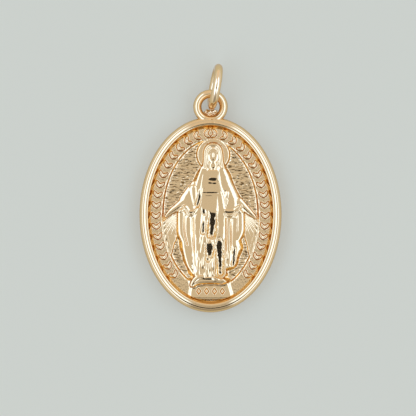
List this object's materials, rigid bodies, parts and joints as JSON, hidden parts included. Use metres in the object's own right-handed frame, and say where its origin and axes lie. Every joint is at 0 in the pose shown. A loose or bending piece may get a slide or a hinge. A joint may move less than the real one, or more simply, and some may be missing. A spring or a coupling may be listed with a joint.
{
  "type": "religious medal pendant",
  "caption": "Oval cast medal with a stepped rim, leaf border and raised robed figure, a soldered loop and a round jump ring, lying on its flat back.",
  "frame": {"origin": "centre of the medal's flat back face, on the surface that it lies on", "axes": "+Z out of the medal's front, away from the surface; +Y toward the loop and the jump ring; +X to the right as the front is read"},
  "size_m": [0.016, 0.0279, 0.0052],
  "materials": {
    "medal_gold": "polished gold plating over cast brass",
    "ring_gold": "polished gold-plated wire"
  },
  "bodies": {
    "root": {"medal": "medal_gold", "jump_ring": "ring_gold"}
  },
  "joints": []
}
